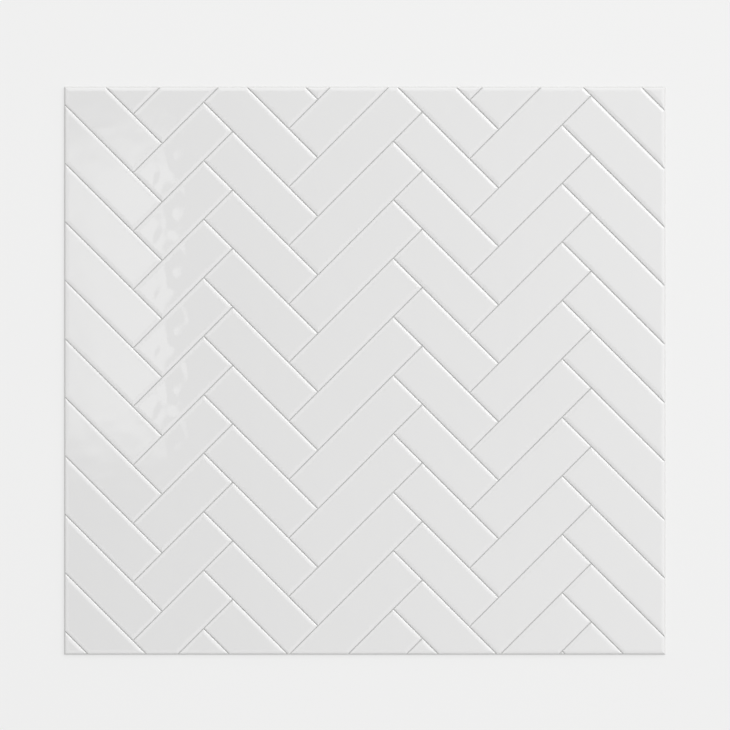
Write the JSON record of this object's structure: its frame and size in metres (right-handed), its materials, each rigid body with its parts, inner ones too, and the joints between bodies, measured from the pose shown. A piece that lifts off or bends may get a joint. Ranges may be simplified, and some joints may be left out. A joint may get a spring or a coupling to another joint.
{
  "type": "pvc wall panel",
  "caption": "Near-square white PVC wall panel, moulded in one piece, with a glossy face of raised tiles in a herringbone and a flat back that is glued to the wall.",
  "frame": {"origin": "centre of the flat back, on the surface the panel lies on", "axes": "+X across the panel, +Y up the panel as it hangs on a wall, +Z out of the tiled face"},
  "size_m": [0.96, 0.907, 0.005],
  "materials": {
    "white_pvc": "gloss"
  },
  "bodies": {
    "root": {"tiled_panel": "white_pvc"}
  },
  "joints": []
}
